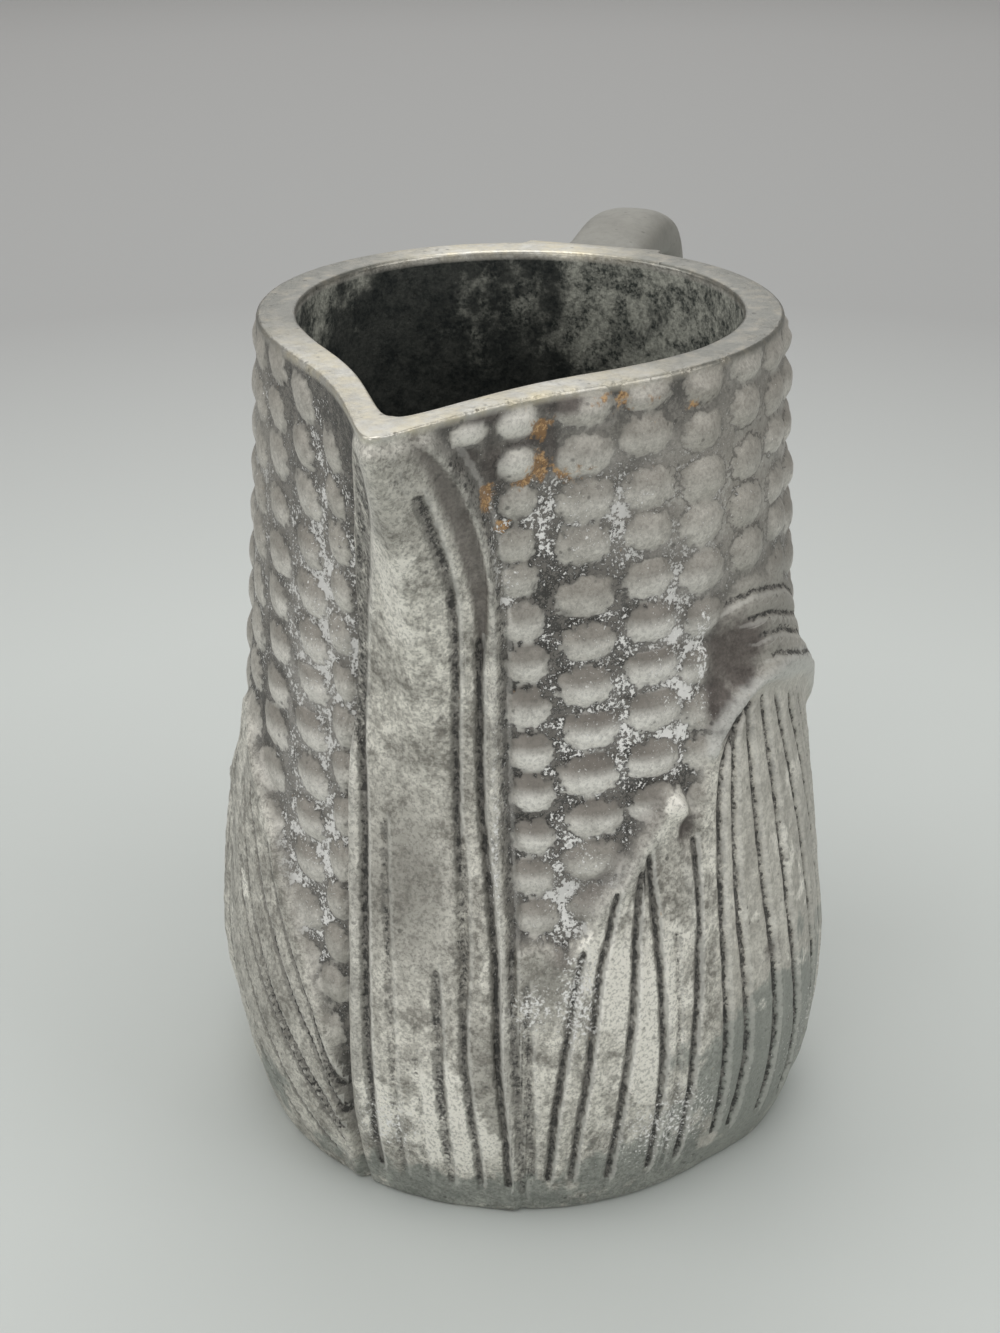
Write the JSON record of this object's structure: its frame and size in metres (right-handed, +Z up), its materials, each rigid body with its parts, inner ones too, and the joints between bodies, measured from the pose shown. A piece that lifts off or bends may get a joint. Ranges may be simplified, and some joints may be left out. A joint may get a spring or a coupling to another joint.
{
  "type": "creamer",
  "caption": "Small cast-metal cream jug shaped as an ear of corn, with a pinched pouring lip, rows of kernels, husk leaves and a loop handle.",
  "frame": {"origin": "centre of the underside, on the surface the creamer stands on", "axes": "+Z up through the mouth, +X towards the pouring lip, handle towards -X"},
  "size_m": [0.1113, 0.08, 0.106],
  "materials": {
    "cast_body": "worn sand casting with dark oxide in the recesses and white bloom",
    "cast_disc": "turned and ground, dulled",
    "cast_handle": "worn casting, smoothed by handling",
    "solder": "smooth solder, dulled"
  },
  "bodies": {
    "root": {"body": "cast_body", "base_disc": "cast_disc", "base_solder": "solder", "handle": "cast_handle", "handle_solder": "solder"}
  },
  "joints": []
}
